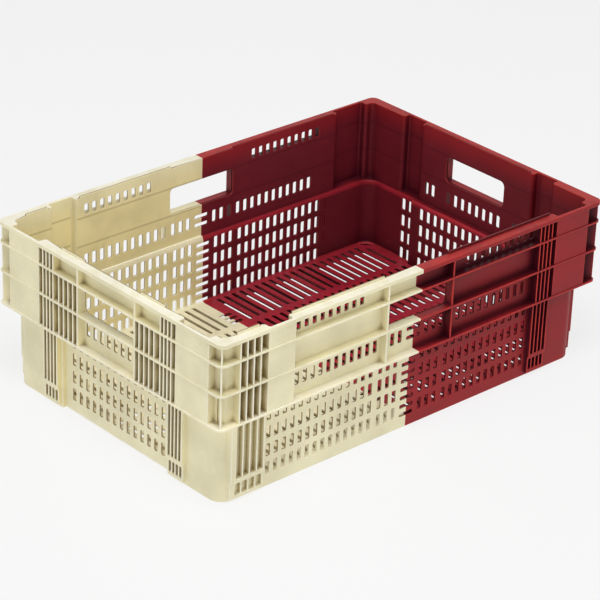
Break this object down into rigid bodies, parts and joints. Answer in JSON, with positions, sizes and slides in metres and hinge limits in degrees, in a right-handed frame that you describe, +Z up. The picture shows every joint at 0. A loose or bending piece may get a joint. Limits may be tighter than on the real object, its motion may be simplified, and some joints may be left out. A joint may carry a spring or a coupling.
{
  "type": "perforated stacking crate",
  "caption": "Two-colour perforated plastic harvest crate with hand-holes, slotted walls and floor, and pads and pockets that let it stack one way round and nest the other.",
  "frame": {"origin": "under the middle of the crate, on the floor it stands on", "axes": "+X along the crate from the cream end to the red end, +Y across it to the rear long side, +Z up"},
  "size_m": [0.6, 0.4, 0.2125],
  "materials": {
    "cream_plastic": "satin moulded polypropylene, cream",
    "red_plastic": "satin moulded polypropylene, dark red"
  },
  "bodies": {
    "root": {"cream_end_rim_band": "cream_plastic", "cream_end_shoulder": "cream_plastic", "cream_end_tub_wall": "cream_plastic", "cream_end_waist_band": "cream_plastic", "cream_floor": "cream_plastic", "cream_front_cheek": "cream_plastic", "cream_front_corner": "cream_plastic", "cream_front_end_cheek": "cream_plastic", "cream_front_end_pad": "cream_plastic", "cream_front_end_panel": "cream_plastic", "cream_front_panel": "cream_plastic", "cream_front_rib_block": "cream_plastic", "cream_front_rim_band": "cream_plastic", "cream_front_shoulder": "cream_plastic", "cream_front_tub_corner": "cream_plastic", "cream_front_tub_wall": "cream_plastic", "cream_front_waist_band": "cream_plastic", "cream_rear_cheek": "cream_plastic", "cream_rear_corner": "cream_plastic", "cream_rear_end_cheek": "cream_plastic", "cream_rear_end_pad": "cream_plastic", "cream_rear_end_panel": "cream_plastic", "cream_rear_panel": "cream_plastic", "cream_rear_rib_block": "cream_plastic", "cream_rear_rim_band": "cream_plastic", "cream_rear_shoulder": "cream_plastic", "cream_rear_tub_corner": "cream_plastic", "cream_rear_tub_wall": "cream_plastic", "cream_rear_waist_band": "cream_plastic", "red_end_rim_band": "red_plastic", "red_end_shoulder": "red_plastic", "red_end_tub_wall": "red_plastic", "red_end_waist_band": "red_plastic", "red_floor": "red_plastic", "red_front_cheek": "red_plastic", "red_front_corner": "red_plastic", "red_front_end_cheek": "red_plastic", "red_front_end_panel": "red_plastic", "red_front_end_rib_block": "red_plastic", "red_front_pad": "red_plastic", "red_front_panel": "red_plastic", "red_front_rim_band": "red_plastic", "red_front_shoulder": "red_plastic", "red_front_tub_corner": "red_plastic", "red_front_tub_wall": "red_plastic", "red_front_waist_band": "red_plastic", "red_rear_cheek": "red_plastic", "red_rear_corner": "red_plastic", "red_rear_end_cheek": "red_plastic", "red_rear_end_panel": "red_plastic", "red_rear_end_rib_block": "red_plastic", "red_rear_pad": "red_plastic", "red_rear_panel": "red_plastic", "red_rear_rim_band": "red_plastic", "red_rear_shoulder": "red_plastic", "red_rear_tub_corner": "red_plastic", "red_rear_tub_wall": "red_plastic", "red_rear_waist_band": "red_plastic"}
  },
  "joints": []
}
